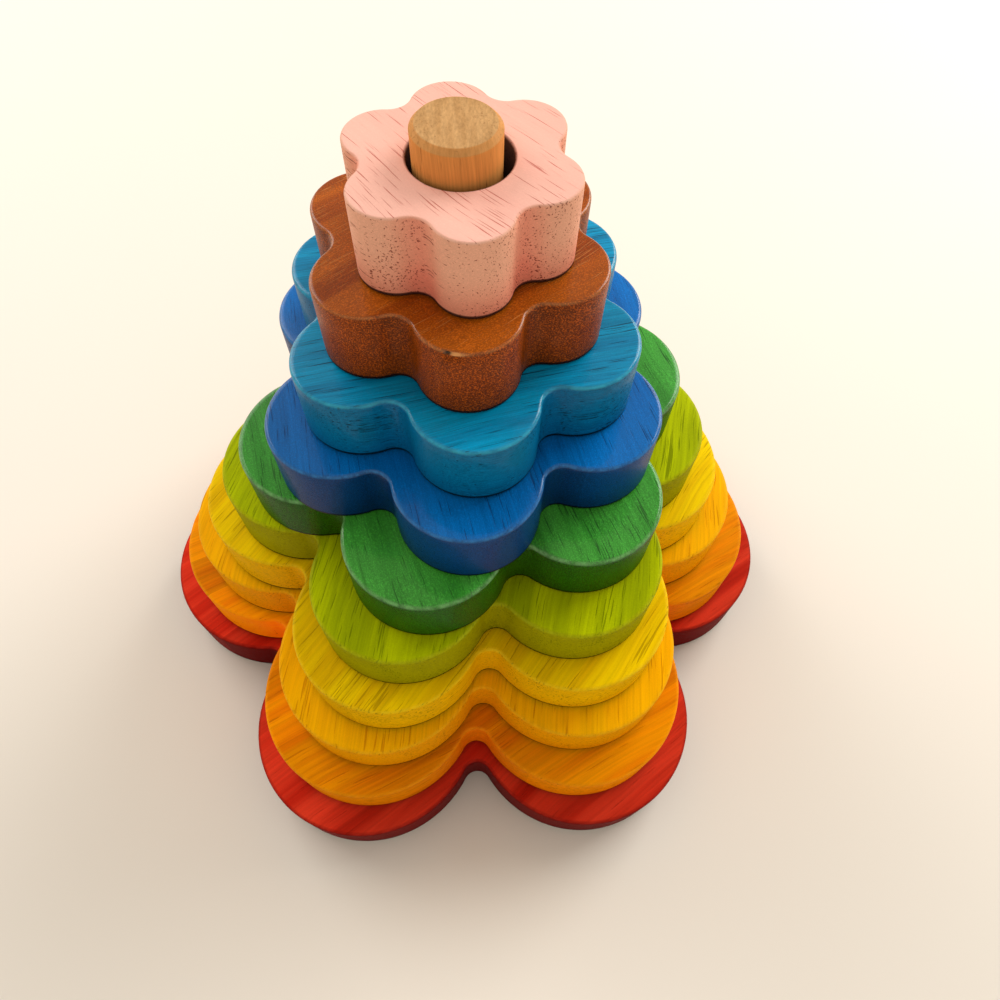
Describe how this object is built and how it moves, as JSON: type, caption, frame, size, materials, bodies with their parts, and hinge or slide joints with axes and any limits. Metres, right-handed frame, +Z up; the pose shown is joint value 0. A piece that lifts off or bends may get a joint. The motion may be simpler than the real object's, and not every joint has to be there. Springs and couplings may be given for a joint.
{
  "type": "stacking ring toy",
  "caption": "Wooden stacking tower of loose flower-shaped rings that get smaller upward, on a round post fixed in a flower-shaped base.",
  "frame": {"origin": "on the post's axis, on the underside of the base", "axes": "+Z up along the post, +X through a lobe of the base, -Y through the valley between two lobes of the base (the toy's front)"},
  "size_m": [0.19, 0.1732, 0.166],
  "materials": {
    "red_stained_wood": "translucent stain under satin lacquer",
    "natural_wood": "clear satin lacquer",
    "orange_stained_wood": "translucent stain under satin lacquer",
    "golden_stained_wood": "translucent stain under satin lacquer",
    "yellow_stained_wood": "translucent stain under satin lacquer",
    "lime_stained_wood": "translucent stain under satin lacquer",
    "green_stained_wood": "translucent stain under satin lacquer",
    "blue_stained_wood": "translucent stain under satin lacquer",
    "teal_stained_wood": "translucent stain under satin lacquer",
    "brown_stained_wood": "translucent stain under satin lacquer",
    "pink_stained_wood": "translucent stain under satin lacquer"
  },
  "bodies": {
    "root": {"base_flower": "red_stained_wood", "center_post": "natural_wood"},
    "orange_ring": {"orange_ring": "orange_stained_wood"},
    "golden_ring": {"golden_ring": "golden_stained_wood"},
    "yellow_ring": {"yellow_ring": "yellow_stained_wood"},
    "lime_ring": {"lime_ring": "lime_stained_wood"},
    "green_ring": {"green_ring": "green_stained_wood"},
    "blue_ring": {"blue_ring": "blue_stained_wood"},
    "teal_ring": {"teal_ring": "teal_stained_wood"},
    "brown_ring": {"brown_ring": "brown_stained_wood"},
    "pink_ring": {"pink_ring": "pink_stained_wood"}
  },
  "joints": [
    {"name": "orange_lift", "type": "slide", "parent": "root", "child": "orange_ring", "axis": [0, 0, 1], "range_m": [0, 0.154]},
    {"name": "golden_lift", "type": "slide", "parent": "orange_ring", "child": "golden_ring", "axis": [0, 0, 1], "range_m": [0, 0.138]},
    {"name": "yellow_lift", "type": "slide", "parent": "golden_ring", "child": "yellow_ring", "axis": [0, 0, 1], "range_m": [0, 0.122]},
    {"name": "lime_lift", "type": "slide", "parent": "yellow_ring", "child": "lime_ring", "axis": [0, 0, 1], "range_m": [0, 0.106]},
    {"name": "green_lift", "type": "slide", "parent": "lime_ring", "child": "green_ring", "axis": [0, 0, 1], "range_m": [0, 0.09]},
    {"name": "blue_lift", "type": "slide", "parent": "green_ring", "child": "blue_ring", "axis": [0, 0, 1], "range_m": [0, 0.074]},
    {"name": "teal_lift", "type": "slide", "parent": "blue_ring", "child": "teal_ring", "axis": [0, 0, 1], "range_m": [0, 0.058]},
    {"name": "brown_lift", "type": "slide", "parent": "teal_ring", "child": "brown_ring", "axis": [0, 0, 1], "range_m": [0, 0.042]},
    {"name": "pink_lift", "type": "slide", "parent": "brown_ring", "child": "pink_ring", "axis": [0, 0, 1], "range_m": [0, 0.026]}
  ]
}
